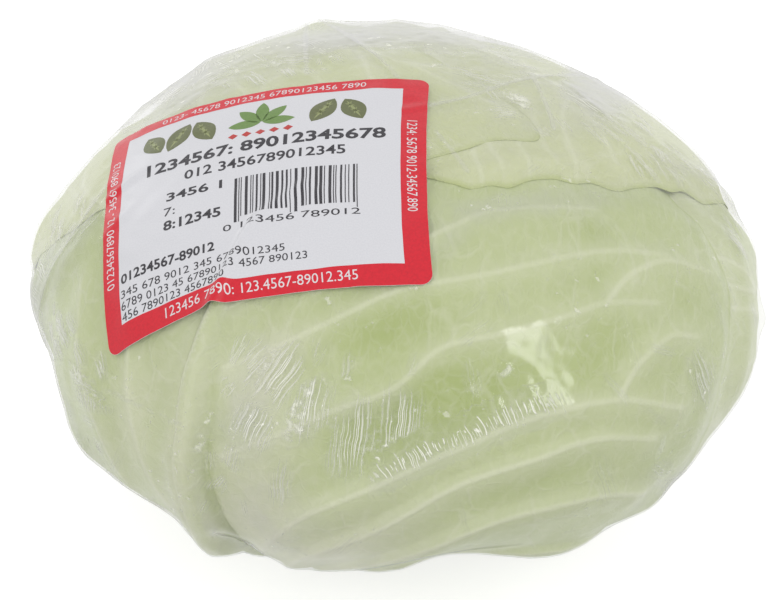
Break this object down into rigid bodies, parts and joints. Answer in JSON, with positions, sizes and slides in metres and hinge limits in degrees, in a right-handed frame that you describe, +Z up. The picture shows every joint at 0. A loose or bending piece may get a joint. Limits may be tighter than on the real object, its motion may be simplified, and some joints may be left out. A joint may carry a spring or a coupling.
{
  "type": "white cabbage",
  "caption": "Flat-round white cabbage standing on its cut stalk, wrapped in clear shrink film with a printed label over the crown.",
  "frame": {"origin": "middle of the flat spot under the stalk that the cabbage rests on", "axes": "+Z up through the crown, -Y the side with the lower edge of the label and the thick midrib, +X to its right"},
  "size_m": [0.1871, 0.1832, 0.113],
  "materials": {
    "inner_leaf": "pale green waxy leaf",
    "stalk": "cut, pale and slightly fibrous",
    "wrapper_leaf": "pale green waxy leaf with raised veins",
    "film": "clear glossy shrink film, hazy where it bridges",
    "label": "smooth white paper with a red printed border"
  },
  "bodies": {
    "root": {"head": "inner_leaf", "stalk": "stalk", "right_leaf": "wrapper_leaf", "front_leaf": "wrapper_leaf", "back_leaf": "wrapper_leaf", "left_leaf": "wrapper_leaf", "film": "film", "label": "label"}
  },
  "joints": []
}
